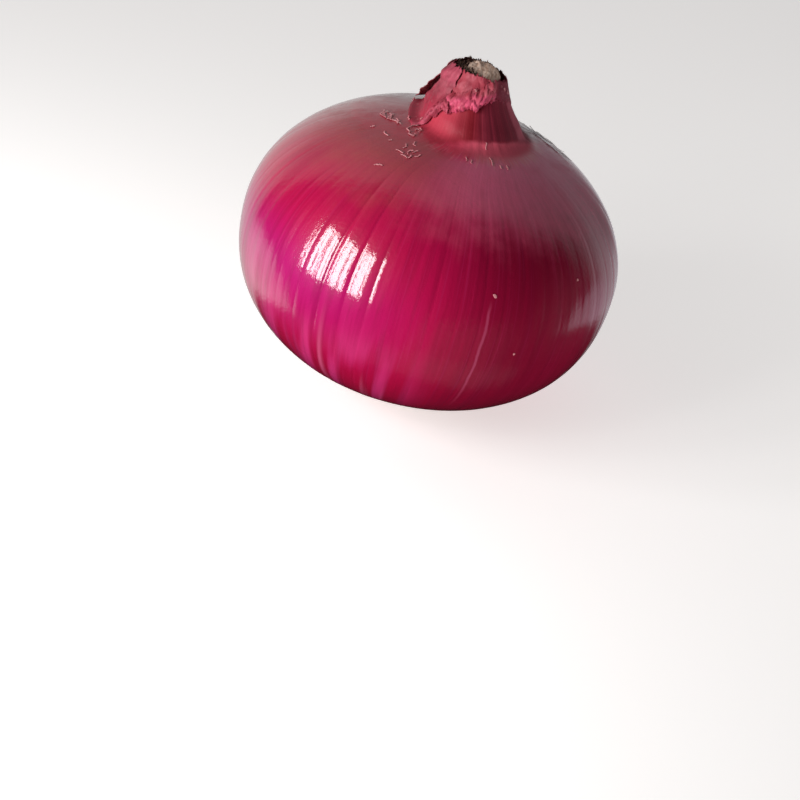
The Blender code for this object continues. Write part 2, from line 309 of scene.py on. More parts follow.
# bulb: the waxy skin. Broad flats run from root to neck, with a narrow crease between each two
bulb = {
    "ridges": 48, "jitter": 0.26, "least": 0.08 * mm, "most": 0.24 * mm, "seed": 11,
    "lowerFade": (10.0 * mm, 30.0 * mm), "upperFade": (14.0 * mm, 38.0 * mm),
    "flatness": 3.2, "creaseShare": (0.16, 0.90), "creaseRarity": 1.5, "creaseSeed": 4, "creaseShadeWidth": 0.06,
    "innerCreases": (0.004 * mm, 0.03 * mm), "innerReach": 0.15, "innerWidth": 0.05,
    # columns of points in each flat, as shares of its width: from its middle, and from the crease inside it
    "leftColumns": (-0.5, -0.46, -0.40, -0.30), "rightColumns": (0.30, 0.40, 0.46),
    "innerColumns": (-0.12, -0.05, 0.0, 0.05, 0.12),
    # the creases are deepest at two sides (degrees, spread) and calm down towards the root
    "strongSides": ((-116.0, 30.0), (-8.0, 26.0)), "weakest": 0.3,
    "lowCalm": (14.0 * mm, 36.0 * mm), "calmest": 0.4,
    "lowerRows": 44, "upperRows": 38, "wallRows": 10, "lipInset": 0.6, "lipRaise": 0.7,
    "dents": ((22, 0.16 * mm), (70, 0.05 * mm)),
    "neckRibs": (9, 60, 0.10 * mm), "ribsBelowWaist": 4 * mm,
}


def bulbColumns(p):
    # (angle, lift, crease) of each column of points, twelve to a flat. Few creases are deep
    draw, inner = random.Random(p["seed"]), random.Random(p["creaseSeed"])
    count, step = p["ridges"], 2 * math.pi / p["ridges"]
    crests = [step * (i + draw.uniform(-p["jitter"], p["jitter"])) for i in range(count)]
    lifts = [draw.uniform(p["least"], p["most"]) for _ in range(count)]
    low, high = p["creaseShare"]
    shares = [low + (high - low) * inner.random() ** p["creaseRarity"] for _ in range(count)]
    columns = []
    for i, crest in enumerate(crests):
        middle = inner.uniform(-p["innerReach"], p["innerReach"])
        cut = inner.uniform(*p["innerCreases"])
        for u in (*p["leftColumns"], *[middle + aside for aside in p["innerColumns"]], *p["rightColumns"]):
            side = -1 if u < 0 else 1
            other = i + side
            share = shares[i] if side > 0 else shares[i - 1]
            mean = (lifts[i] + lifts[other % count]) / 2
            turns = 2 * math.pi * (other // count)
            span = abs(crests[other % count] + turns - crest)
            lift = lifts[i] + (mean * (1 - 2 * share) - lifts[i]) * abs(2 * u) ** p["flatness"]
            groove = math.exp(-(((u - middle) / p["innerWidth"]) ** 2))
            edge = max(0.0, 1 - (0.5 - abs(u)) / p["creaseShadeWidth"]) * share
            columns.append((crest + u * span, lift - cut * groove, edge))
    return columns


def bulbOutline(p):
    dimple = [(0.0, form["dimpleTop"]), (form["dimpleTopRadius"], form["dimpleTop"])]
    lower = bodyArc(form["dimpleRadius"], p["lowerRows"], form["lowerFullness"], lowerHeight)
    upper = bodyArc(form["flareRadius"], p["upperRows"], form["upperFullness"], upperHeight)
    wall = []
    for row in range(1, p["wallRows"] + 1):
        height = form["waistHeight"] + (form["lipHeight"] - form["waistHeight"]) * row / p["wallRows"]
        wall.append((wallRadius(height), height))
    lipTop = form["lipHeight"] + form["lipRound"] * p["lipRaise"]
    mouth = [
        (form["lipRadius"] - form["lipRound"] * p["lipInset"], lipTop),
        (form["mouthRadius"], form["lipHeight"]),
        (form["mouthRadius"], form["mouthFloor"]),
        (0.0, form["mouthFloor"]),
    ]
    return dimple + lower + [(form["radius"], form["equator"])] + upper[:0:-1] + flare + wall + mouth


def makeBulb(p, material):
    columns = bulbColumns(p)
    outline = bulbOutline(p)
    piece = turnedPiece("bulbSkin", outline, len(columns))
    step = 2 * math.pi / len(columns)
    grain, spot = [], []
    for vert in piece.data.vertices:
        radius, height = math.hypot(vert.co.x, vert.co.y), vert.co.z
        index = round(math.atan2(vert.co.y, vert.co.x) / step) % len(columns)
        angle, lift, crease = columns[index]
        fade = smooth(radius, *p["upperFade" if height > form["equator"] else "lowerFade"])
        roundShare = smooth(radius, form["flareRadius"], form["offsetFade"][0])
        angle = index * step + (angle - index * step) * smooth(radius, *p["lowerFade"])
        near = 0.0
        for way, width in p["strongSides"]:
            aside = (math.degrees(angle) - way + 180) % 360 - 180
            near = max(near, math.exp(-((aside / width) ** 2)))
        fade *= p["weakest"] + (1 - p["weakest"]) * near
        fade *= p["calmest"] + (1 - p["calmest"]) * smooth(height, *p["lowCalm"])
        out = lift * fade
        for scale, size in p["dents"]:
            out += size * roundShare * noise.noise(vert.co * scale)
        if radius < form["flareRadius"] and form["waistHeight"] - p["ribsBelowWaist"] < height:
            around, upward, size = p["neckRibs"]
            out += size * wander(angle, height, around, upward)
        body = radius * (1 + (outOfRound(angle) - 1) * roundShare)
        vert.co = place(angle, body + out, height)
        grain.append((math.cos(angle), math.sin(angle), height * 10))   # height and reach in decimetres
        # the third mark is how near a crease the point lies, where the skin gets painted shade
        spot.append((radius * 10, height * 10, crease * fade))
    addMarks(piece, "grain", grain)
    addMarks(piece, "spot", spot)
    return finishPiece(piece, material, "bulb_skin", "bulb")


# onion skin: thin, waxed and wet-looking, so a smooth clear coat lies over a softer colour beneath
skinPaint = {
    "crimson": "#A0083C", "magenta": "#9A0A5A", "maroon": "#760826", "vein": "#5A0620",
    "light": "#C8387C", "scar": "#C45A80", "paleSheen": "#CF5F88", "low": "#94082E",
    "shoulder": "#981A34", "rightShoulderSheen": "#CC5078", "papery": "#98504C", "ring": "#BA344C",
    "rayTip": "#C4707A", "underFlap": "#A03440", "neck": "#6E0F1B", "neckShade": "#6C2030",
    "neckLight": "#CC4458", "neckRimLight": "#A04858", "rootTan": "#A87A52",
    # cells of even noise: their size and detail
    "crinkle": (0.7692 * mm, 3), "cloud": (4.167 * mm, 4),
    # streaks drawn out from root to neck: width where the bulb is widest, change along it, detail
    "streaks": {
        "fine": (1.4667 * mm, 0.15, 3), "threads": (0.4889 * mm, 0.05, 2), "ribbing": (2.75 * mm, 0.08, 1),
        "rays": (1.0 * mm, 0.3, 3), "bands": (6.111 * mm, 0.30, 2), "sheenStreaks": (3.6667 * mm, 0.16, 1.5),
    },
    # the neck skin ends in a line that drops towards the left, and a healed split shows low on the front
    "footWay": -50, "splitWay": 22.5,
    # what each pattern adds to a line, so that it is ragged, and to the relief
    "frays": (
        ("shoulderLine", "cloud", 0.07), ("shoulderLine", "fine", 0.06), ("rayLine", "rays", 0.07),
        ("rayLine", "cloud", 0.03), ("footLine", "footTurn", -0.039), ("footLine", "cloud", 0.02),
        ("splitLine", "cloud", 0.02), ("relief", "threads", 0.35), ("relief", "cloud", 1.8),
    ),
    # what each mask reads, and where it starts and is full: the cosine of the angle from a way in degrees, a
    # height or a reach from the axis in decimetres, a pattern or a ragged line
    "ranges": {
        "left": (-150, 0.30, 0.98), "right": (-38, 0.60, 0.97), "lit": (-38, 0.82, 0.50),
        "splitSide": (-67, 0.9, 0.95), "rightShoulderSheen": (-35, 0.2, 0.8), "farLeft": (-170, 0.2, 0.9),
        "flapSide": (-165, 0.72, 0.92), "neckRight": (-28, 0.45, 0.8), "neckLeft": (-158, 0.35, 0.9),
        "neckRimLight": (-5, 0.955, 0.99),
        "belly": ("height", 0.52, 0.38), "bellyHalf": ("height", 0.47, 0.43), "upper": ("height", 0.45, 0.55),
        "bellyEnd": ("height", 0.14, 0.30), "lower": ("height", 0.40, 0.18), "low": ("height", 0.3, 0.2),
        "underFlap": ("reach", 0.24, 0.18), "rootEnd": ("reach", 0.27, 0.12), "matt": ("reach", 0.150, 0.125),
        "bands": ("bands", 0.46, 0.60), "veins": ("fine", 0.56, 0.36), "threads": ("threads", 0.55, 0.72),
        "sheenStreaks": ("sheenStreaks", 0.54, 0.72), "papery": ("cloud", 0.42, 0.66), "ribs": ("fine", 0.45, 0.62),
        "shoulder": ("shoulderLine", 0.59, 0.74), "ring": ("rayLine", 0.218, 0.192),
        "rayStart": ("rayLine", 0.185, 0.205), "rayEnd": ("rayLine", 0.225, 0.210),
        "neck": ("footLine", 0.651, 0.663), "split": ("splitLine", 0.011, 0.002),
    },
    # colours from the lowest up: how strong each is, and the masks it shows through
    "layers": (
        # the low red darkens the lower half and the maroon darkens the side away from the window: both are
        # painted shade
        ("magenta", 0.95, "left", "belly", "bellyEnd"), ("low", 0.8, "lower"), ("maroon", 0.9, "right"),
        # on the lit lower side the light bands are painted light over the skin's banding, and the pale
        # streaks there are a painted reflection
        ("light", 0.5, "bands", "lower", "lit"), ("vein", 0.2, "veins"), ("light", 0.08, "threads"),
        ("paleSheen", 0.65, "sheenStreaks", "lower", "lit"),
        ("scar", 0.3, "split", "splitSide", "bellyHalf", "bellyEnd"),
        # the lighter pink on the right shoulder is painted light and painted sheen
        ("shoulder", 0.85, "shoulder"), ("rightShoulderSheen", 0.85, "shoulder", "rightShoulderSheen"),
        ("papery", 0.45, "shoulder", "farLeft"), ("papery", 0.2, "shoulder", "papery"),
        ("underFlap", 0.85, "underFlap", "flapSide", "upper"), ("ring", 0.9, "ring", "upper"),
        # painted light on the ring at the right shoulder
        ("rayTip", 0.3, "ring", "upper", "rightShoulderSheen"),
        ("rayTip", 0.35, "rayStart", "rayEnd", "upper", "ribs"),
        # the neck is painted lighter at its left and at its far right edge as painted light, and darker at
        # its right as painted shade
        ("neck", 1.0, "neck"), ("neckLight", 0.5, "neck", "neckLeft"),
        ("neckShade", 0.9, "neck", "neckRight"), ("neckRimLight", 0.8, "neck", "neckRimLight"),
        ("neckLight", 0.1, "neck", "ribs"),
        # the creases are darkened with the vein colour: painted shade
        ("vein", 0.1, "crease"), ("rootTan", 0.9, "rootEnd", "low", "ribs"),
    ),
    # the ribbing is deep on the belly, and the ring round the neck is matt, with hardly any coat
    "ribDepth": (5.0, 1.0), "crumple": (0.8, 1.0), "bump": 0.04 * mm,
    "roughness": (0.36, 0.6), "coat": (1.0, 0.03), "wornCoat": -0.4,
}


def onionSkin(p):
    material, tree, shader = startMaterial("waxedOnionSkin", IOR=1.4, Specular_IOR_Level=0.2,
                                           Coat_Roughness=0.09, Coat_IOR=1.64)
    grain = addNode(tree, "Attribute", attribute_name="grain")
    spot = addNode(tree, "SeparateXYZ", {0: addNode(tree, "Attribute", attribute_name="spot")})

    def facing(degrees):
        way = (math.cos(math.radians(degrees)), math.sin(math.radians(degrees)), 0)
        return addNode(tree, "VectorMath", {0: grain, 1: way}, operation="DOT_PRODUCT")

    reads = {"reach": (spot, "X"), "height": (spot, "Y"), "footTurn": facing(p["footWay"])}
    where = (addNode(tree, "TexCoord"), "Object")
    for name in ("crinkle", "cloud"):
        size, detail = p[name]
        reads[name] = addNode(tree, "TexNoise", {"Vector": where, "Scale": 1 / size, "Detail": detail})
    for name, (width, lengthwise, detail) in p["streaks"].items():
        drawn = addNode(tree, "Mapping", {"Vector": grain, "Scale": (1, 1, lengthwise)})
        scale = form["radius"] / width
        reads[name] = addNode(tree, "TexNoise", {"Vector": drawn, "Scale": scale, "Detail": detail})
    reads.update(shoulderLine=reads["height"], rayLine=reads["reach"], footLine=reads["height"],
                 splitLine=facing(p["splitWay"]), relief=reads["crinkle"])
    for line, pattern, amount in p["frays"]:
        reads[line] = addNode(tree, "Math", {0: reads[pattern], 1: amount, 2: reads[line]},
                              operation="MULTIPLY_ADD")
    reads["splitLine"] = addNode(tree, "Math", {0: reads["splitLine"]}, operation="ABSOLUTE")
    ranges = {}
    for name, (source, start, end) in p["ranges"].items():
        ranges[name] = (reads[source] if source in reads else facing(source), start, end)
    mask = makeMasks(tree, ranges)
    # the crease mask carries the painted shade in the creases
    mask["crease"] = (spot, "Z")
    skin = layerPaint(tree, p["crimson"], [
        (p[shade], share, *[mask[name] for name in over]) for shade, share, *over in p["layers"]
    ])
    dull = addNode(tree, "Math", {0: mask["matt"], 1: mask["upper"]}, operation="MULTIPLY")
    worn = addNode(tree, "Math", {0: mask["papery"], 1: mask["shoulder"]}, operation="MULTIPLY")
    gloss = addNode(tree, "Math", {0: worn, 1: p["wornCoat"], 2: 1.0}, operation="MULTIPLY_ADD")
    blend = {"ribDepth": mask["upper"], "crumple": mask["shoulder"], "roughness": dull, "coat": dull}
    for name, share in blend.items():
        start, end = p[name]
        blend[name] = addNode(tree, "MapRange", {"Value": share, "To Min": start, "To Max": end})
    relief = addNode(tree, "Math", {0: reads["ribbing"], 1: blend["ribDepth"], 2: reads["relief"]},
                     operation="MULTIPLY_ADD")
    bump = addNode(tree, "Bump", {"Height": relief, "Strength": blend["crumple"], "Distance": p["bump"]})
    coat = addNode(tree, "Math", {0: gloss, 1: blend["coat"]}, operation="MULTIPLY")
    for name, value in {"Base Color": skin, "Roughness": blend["roughness"], "Coat Weight": coat,
                        "Normal": bump, "Coat Normal": bump}.items():
        plug(tree, value, shader.inputs[name])
    return material


bulbSkin = makeBulb(bulb, onionSkin(skinPaint))

# dry skin: papery and dull, rose where it has rolled up, dark where it lies close, and darker on the side
# away from the window as painted shade
dryPaint = {
    "close": "#963240", "rose": "#A84E5A", "pink": "#C24A68", "pale": "#DCA0A0", "burnt": "#4A2620",
    "shade": "#6A2232", "low": "#8E2432",
    "fibre": 0.7, "patch": 2.4, "speck": 0.5,   # widths in millimetres
    # where each mask starts and is full, in the noise's own measure
    "fibreAt": (0.6, 0.4), "patchAt": (0.42, 0.60), "speckAt": (0.60, 0.72), "rolledAt": (0.25, 0.60),
    "burntAt": (-0.95, -1.2),
    # and in the same measures as the marks
    "pinkStart": (-20.0, -18.0), "pinkEnd": (-5.0, -8.0), "pinkRise": (90.0, 91.0), "shadeFrom": (-8.0, -5.5),
    "lowRise": (0.0, -1.0), "burntFrom": (2.8, 7.0),
    # colours from the lowest up: how strong each is, and the masks it shows through
    "layers": (
        ("rose", 0.9, "patch"), ("low", 0.9, "low"), ("pink", 0.9, "high", "pinkStart", "pinkEnd"),
        # the shade colour darkens the side away from the window: painted shade
        ("pink", 0.95, "rolled", "pinkStart", "pinkEnd"), ("close", 0.4, "fibre"), ("shade", 0.85, "shade"),
        ("pale", 0.22, "speck", "patch"), ("burnt", 0.9, "burnt", "burntSide"),
    ),
    "sheer": 0.0, "bump": 0.13 * mm,
}


def drySkin(name, p):
    # marks: millimetres round the neck, millimetres up, and 1 at the torn edge to -1 at the top
    material, tree, shader = startMaterial(name, IOR=1.4, Roughness=0.6, Specular_IOR_Level=0.35,
                                           Alpha=1 - p["sheer"])
    marks = addNode(tree, "Attribute", attribute_name="spot")
    spot = addNode(tree, "SeparateXYZ", {0: marks})
    around, rise, edge = (spot, "X"), (spot, "Y"), (spot, "Z")
    drawn = addNode(tree, "Mapping", {"Vector": marks, "Scale": (1, 0.5, 0)})
    fibre = addNode(tree, "TexNoise", {"Vector": drawn, "Scale": 1 / p["fibre"], "Detail": 3})
    patch = addNode(tree, "TexNoise", {"Vector": marks, "Scale": 1 / p["patch"], "Detail": 3})
    speck = addNode(tree, "TexNoise", {"Vector": marks, "Scale": 1 / p["speck"], "Detail": 2})
    torn = addNode(tree, "Math", {0: patch, 1: 0.5, 2: edge}, operation="MULTIPLY_ADD")
    burnt = addNode(tree, "Math", {0: speck, 1: -0.9, 2: edge}, operation="MULTIPLY_ADD")
    low = addNode(tree, "Math", {0: patch, 1: -3.0, 2: rise}, operation="MULTIPLY_ADD")
    mask = makeMasks(tree, {
        "patch": (patch, *p["patchAt"]), "fibre": (fibre, *p["fibreAt"]), "speck": (speck, *p["speckAt"]),
        "rolled": (torn, *p["rolledAt"]), "burnt": (burnt, *p["burntAt"]),
        "burntSide": (around, *p["burntFrom"]), "shade": (around, *p["shadeFrom"]),
        "pinkStart": (around, *p["pinkStart"]), "pinkEnd": (around, *p["pinkEnd"]),
        "high": (low, *p["pinkRise"]), "low": (low, *p["lowRise"]),
    })
    skin = layerPaint(tree, p["close"], [
        (p[shade], share, *[mask[name] for name in over]) for shade, share, *over in p["layers"]
    ])
    relief = addNode(tree, "Math", {0: fibre, 1: patch}, operation="ADD")
    relief = addNode(tree, "Math", {0: speck, 1: 0.5, 2: relief}, operation="MULTIPLY_ADD")
    bump = addNode(tree, "Bump", {"Height": relief, "Strength": 0.7, "Distance": p["bump"]})
    plug(tree, skin, shader.inputs["Base Color"])
    plug(tree, bump, shader.inputs["Normal"])
    return material


# collar: the skin still wrapped round the neck, torn off below and crumpled at the torn edge
collar = {
    "start": -130.0, "end": 150.0, "columns": 340, "rows": 60,
    # edges: degrees round the neck and millimetres up
    "tornEdge": ((-126, 71.8), (-105, 73.0), (-88, 74.0), (-62, 76.0), (-20, 75.2), (30, 73.0), (90, 74.6),
                 (150, 72.4)),
    "topEdge": ((-126, 80.3), (-90, 80.5), (-45, 80.0), (0, 79.1), (60, 79.6), (110, 80.3), (150, 80.4)),
    "tatter": ((5, 0.35 * mm), (16, 0.3 * mm), (45, 0.25 * mm)),
    "gap": 0.26 * mm, "thickness": 0.2 * mm, "tuck": 0.45 * mm,
    "wrinkles": ((4, 450, 0.40 * mm), (9, 1100, 0.11 * mm)),
    "roll": 1.0 * mm, "rollRise": 4.0 * mm, "rollFrom": (-150.0, -125.0), "rollTo": (-50.0, -66.0),
    "lumps": 0.45, "hugFrom": (-66.0, -45.0), "hug": 0.75, "edge": 3.6 * mm,
    # the crack at its left end wavers, by degrees, and fades in that share of the width
    "waver": 5.0, "waverScale": 800, "waverFade": (0.05, 0.0),
}
millimetresPerDegree = 0.14   # round the neck


def ragged(angle, layers, seed):
    # the noise seldom passes 0.6, so it is raised to about the sizes in the layers
    return sum(size * wander(angle, 0.0, around, 1, seed) * 1.6 for around, size in layers)


def rollLift(p, degrees, angle, rise):
    # how far the rolled torn edge stands out: lumpy, and tucked in under its lower side
    strength = smooth(degrees, *p["rollFrom"]) * smooth(degrees, *p["rollTo"])
    share = min(1.0, max(0.0, rise / p["rollRise"]))
    lump = 1 + p["lumps"] * (wander(angle, rise, 4, 500, 31.0) + wander(angle, rise, 10, 1300, 37.0))
    lift = p["roll"] * strength * lump * math.sin(math.pi * share) ** 0.7
    return lift - p["tuck"] * (1 - smooth(share, 0.0, 0.3))


def makeCollar(p, material):
    def shape(across, up):
        degrees = p["start"] + (p["end"] - p["start"]) * across
        angle = math.radians(degrees)
        low = along(p["tornEdge"], degrees) + ragged(angle, p["tatter"], 3.0)
        high = along(p["topEdge"], degrees) + ragged(angle, p["tatter"], 9.0)
        height = low + (high - low) * up
        waver = noise.noise(Vector((0, 4.0, height * p["waverScale"]))) * smooth(across, *p["waverFade"])
        degrees += p["waver"] * waver
        angle = math.radians(degrees)
        calm = 1 - p["hug"] * smooth(degrees, *p["hugFrom"])
        radius = neckRadius(height) + p["gap"] * calm + rollLift(p, degrees, angle, height - low)
        for around, upward, size in p["wrinkles"]:
            radius += size * calm * (0.5 + wander(angle, height, around, upward, 5.0))
        torn, crest = max(0.0, 1 - (height - low) / p["edge"]), max(0.0, 1 - (high - height) / p["edge"])
        mark = (degrees * millimetresPerDegree, height / mm, torn - crest)
        return place(angle, radius, height), mark

    piece = sheetPiece("neckSkin", p["columns"], p["rows"], shape, p["thickness"])
    return finishPiece(piece, material, "dry_skin", "neck_collar")


neckSkin = makeCollar(collar, drySkin("tornNeckSkin", dryPaint))

# flap: a lobe of dry skin splayed out at the left, and the strip behind it that overhangs its edge
flapPiece = {
    "end": 230.0, "footStart": 139.0, "topStart": 156.0, "edgeTurn": 0.7,
    "tornEdge": ((139, 66.6), (150, 66.6), (172, 66.0), (202, 65.8), (211, 67.2), (218, 69.4), (230, 71.8)),
    "topEdge": ((139, 79.4), (180, 80.1), (230, 80.5)),
    # between these degrees its foot merges with the shoulder: it runs out there, and dips just under it
    "mergeStart": (144.0, 156.0), "mergeEnd": (215.0, 203.0),
    "footRun": 0.2 * mm, "footRise": 67.0 * mm, "footCurve": (1.4 * mm, 1.5), "footReach": 1.2,
    "footDip": 0.9 * mm, "footCalm": (0.35, 0.05),
    "splay": 1.9 * mm, "splayHeight": 80.0 * mm, "splayFoot": 66.5 * mm, "hugFrom": 185.0, "hug": 136.0,
    "lobe": 1.2 * mm, "lobeAt": (196.0, 78.0 * mm), "lobeSize": (24.0, 1.9 * mm),
    "columns": 180, "rows": 110, "gap": 0.30 * mm, "thickness": 0.2 * mm, "edge": 2.0 * mm,
    "tatter": ((5, 0.3 * mm), (16, 0.3 * mm), (45, 0.2 * mm)), "tuck": 0.4 * mm,
    "overlap": 9.0, "overlapRise": (0.4, 0.2), "waver": 5.0, "waverScale": 800, "waverFade": (0.92, 1.0),
    "roll": 1.0 * mm, "rollRise": 3.0 * mm, "rollFrom": (196.0, 212.0), "rollTo": (260.0, 250.0),
    "lumps": 0.8, "wrinkles": ((3, 300, 0.55 * mm), (7, 800, 0.30 * mm)),
}
backStrip = {
    **flapPiece,
    "end": 163.0, "footStart": 112.0, "topStart": 120.0, "columns": 90,
    "tornEdge": ((112, 69.5), (125, 67.4), (140, 66.6), (148, 66.8), (163, 71.5)),
    "mergeStart": (900.0, 901.0), "footRun": 0.0, "tuck": 0.0, "overlap": 0.0,   # it merges nowhere
    "splay": 2.8 * mm, "hugFrom": 105.0, "hug": 135.0, "gap": 0.75 * mm,
}


def makeFlap(name, p, material, *nodes):
    def shape(across, up):
        start = p["footStart"] + (p["topStart"] - p["footStart"]) * smooth(up, 0.0, p["edgeTurn"])
        degrees = start + (p["end"] + p["overlap"] * smooth(up, *p["overlapRise"]) - start) * across
        angle = math.radians(degrees)
        hug = smooth(degrees, p["hugFrom"], p["hug"])
        merge = smooth(degrees, *p["mergeStart"]) * smooth(degrees, *p["mergeEnd"])
        footRadius = form["flareRadius"] + p["gap"] + p["splay"] * hug + p["footRun"] * p["footReach"]
        low = along(p["tornEdge"], degrees) + ragged(angle, p["tatter"], 13.0)
        low += (upperHeight(footRadius) - p["footDip"] - low) * merge
        high = along(p["topEdge"], degrees) + ragged(angle, p["tatter"], 17.0)
        height = low + (high - low) * up
        waver = noise.noise(Vector((9.0, 4.0, height * p["waverScale"]))) * smooth(across, *p["waverFade"])
        degrees += p["waver"] * waver
        angle = math.radians(degrees)
        splay = smooth(height, p["splayHeight"], p["splayFoot"]) * hug
        radius = neckRadius(height) + p["gap"] + p["splay"] * splay
        run, power = p["footCurve"]
        radius += p["footRun"] * merge * max(0.0, (p["footRise"] - height) / run) ** power
        around = (degrees - p["lobeAt"][0]) / p["lobeSize"][0]
        upward = (height - p["lobeAt"][1]) / p["lobeSize"][1]
        radius += p["lobe"] * math.exp(-around**2 - upward**2)
        radius += rollLift(p, degrees, angle, height - low) * (1 - merge)
        calm = 1 - merge * smooth(up, *p["footCalm"])
        for around, upward, size in p["wrinkles"]:
            radius += size * (0.5 + wander(angle, height, around, upward, 7.0)) * calm
        torn, crest = max(0.0, 1 - (height - low) / p["edge"]), max(0.0, 1 - (high - height) / p["edge"])
        mark = (degrees * millimetresPerDegree, height / mm, torn * (1 - merge) - crest)
        return place(angle, radius, height), mark

    piece = sheetPiece(name, p["columns"], p["rows"], shape, p["thickness"])
    return finishPiece(piece, material, "dry_skin_flap", *nodes)


flapPaint = {
    **dryPaint, "close": "#7C2A38", "rose": "#984250", "pink": "#AC465A", "low": "#9A2038",
    "pinkStart": (26.5, 28.5), "pinkEnd": (70.0, 60.0), "pinkRise": (74.6, 76.6), "shadeFrom": (60.0, 70.0),
    "lowRise": (74.0, 69.0), "burntFrom": (24.0, 21.5),
}
stripPaint = {**flapPaint, "rose": "#7E4A48", "pinkStart": (50.0, 60.0), "lowRise": (0.0, -1.0)}
flapSkin = makeFlap("flapSkin", flapPiece, drySkin("splayedDrySkin", flapPaint), "skin_flap")
makeFlap("flapBackStrip", backStrip, drySkin("brownedDrySkin", stripPaint))

# dried leaf ends: straw-coloured fibre, burnt brown at the ragged rim
leafPaint = {"straw": "#F4D6C2", "shade": "#CCA48C", "rim": "#54392E", "fibre": 0.5}


def driedLeaf(p):
    material, tree, shader = startMaterial("driedLeafFibre", Roughness=0.85)
    marks = addNode(tree, "Attribute", attribute_name="spot")
    spot = addNode(tree, "SeparateXYZ", {0: marks})
    drawn = addNode(tree, "Mapping", {"Vector": marks, "Scale": (1, 0.3, 0)})
    fibre = addNode(tree, "TexNoise", {"Vector": drawn, "Scale": 1 / p["fibre"], "Detail": 4})
    edge = addNode(tree, "Math", {0: fibre, 1: 0.6, 2: (spot, "Z")}, operation="MULTIPLY_ADD")
    mask = makeMasks(tree, {"fibre": (fibre, 0.6, 0.4), "rim": (edge, 0.95, 1.25)})
    leaf = layerPaint(tree, p["straw"], [(p["shade"], 1.0, mask["fibre"]), (p["rim"], 1.0, mask["rim"])])
    bump = addNode(tree, "Bump", {"Height": fibre, "Strength": 0.8, "Distance": 0.2 * mm})
    plug(tree, leaf, shader.inputs["Base Color"])
    plug(tree, bump, shader.inputs["Normal"])
    return material


tip = {
    "plugRadius": 4.3 * mm, "plugHeight": 80.0 * mm, "dome": 1.0 * mm, "plugRings": 12, "plugSteps": 72,
    "gap": 0.35 * mm, "crumple": ((1100, 0.3 * mm), (350, 0.4 * mm)),
    "lowSide": -95.0, "slant": 0.34, "rollSlant": 0.3,
    # radius and top in millimetres, and the degrees where each roll starts and how far it goes round
    "rolls": ((5.7, 79.9, 105, 150), (4.7, 79.9, 75, 145), (3.7, 79.9, 80, 170), (2.3, 79.8, 120, 150)),
    "gather": 0.12, "sway": 0.25 * mm, "belowLip": 1.5 * mm, "columns": 110, "rows": 14,
    "tatter": ((3, 0.3 * mm), (9, 0.4 * mm), (24, 0.4 * mm)),
    "thickness": 0.22 * mm, "rim": 2.4 * mm, "millimetresPerDegree": 0.07,
}


def makeTip(p, material):
    rings = [(0.0, form["mouthFloor"] + p["gap"]), (p["plugRadius"], form["mouthFloor"] + p["gap"])]
    for row in range(p["plugRings"] + 1):
        share = row / p["plugRings"]
        rings.append((p["plugRadius"] * (1 - share), p["plugHeight"] - p["dome"] * (1 - share) ** 3))
    core = turnedPiece("leafEndCore", rings, p["plugSteps"])
    lowSide = math.radians(p["lowSide"])
    marks = []
    for vert in core.data.vertices:
        radius, angle, height = math.hypot(vert.co.x, vert.co.y), math.atan2(vert.co.y, vert.co.x), vert.co.z
        if height > form["lipHeight"]:
            height += sum(size * noise.noise(vert.co * scale) for scale, size in p["crumple"])
            height -= p["slant"] * radius * math.cos(angle - lowSide)
        marks.append((vert.co.x / mm, vert.co.y / mm, 0.25))
        vert.co = place(angle, radius, height)
    addMarks(core, "spot", marks)
    finishPiece(core, material, "dried_leaf", "neck_tip")
    for i, (radius, top, start, turn) in enumerate(p["rolls"]):
        def shape(across, up):
            degrees = start + turn * across
            angle = math.radians(degrees)
            at = radius * mm * (1 - p["gather"] * across) + p["sway"] * wander(angle, up, 3, 2, i * 4.0)
            crest = top * mm + ragged(angle, p["tatter"], 21.0 + i)
            crest -= p["rollSlant"] * p["slant"] * at * math.cos(angle - lowSide)
            low = form["lipHeight"] - p["belowLip"]
            height = low + (crest - low) * up
            rim = max(0.0, 1 - (crest - height) / p["rim"])
            return place(angle, at, height), (degrees * p["millimetresPerDegree"], height / mm, rim)
        roll = sheetPiece(f"leafEnd{i + 1}", p["columns"], p["rows"], shape, p["thickness"])
        finishPiece(roll, material, "dried_leaf")


makeTip(tip, driedLeaf(leafPaint))

# root plate and roots: dull gritty cork, and dried roots, straw-coloured with a darker grain
rootPaint = {"cork": "#8E6A44", "corkShade": "#5A3E26", "root": "#B49460", "rootShade": "#7A5A34"}


def corkFibre(name, light, dark, size):
    material, tree, shader = startMaterial(name, Roughness=0.85)
    where = (addNode(tree, "TexCoord"), "Object")
    grit = addNode(tree, "TexNoise", {"Vector": where, "Scale": 1 / size, "Detail": 5, "Roughness": 0.65})
    mask = makeMasks(tree, {"grit": (grit, 0.35, 0.65)})
    bump = addNode(tree, "Bump", {"Height": grit, "Strength": 0.9, "Distance": 0.3 * mm})
    plug(tree, layerPaint(tree, dark, [(light, 1.0, mask["grit"])]), shader.inputs["Base Color"])
    plug(tree, bump, shader.inputs["Normal"])
    return material


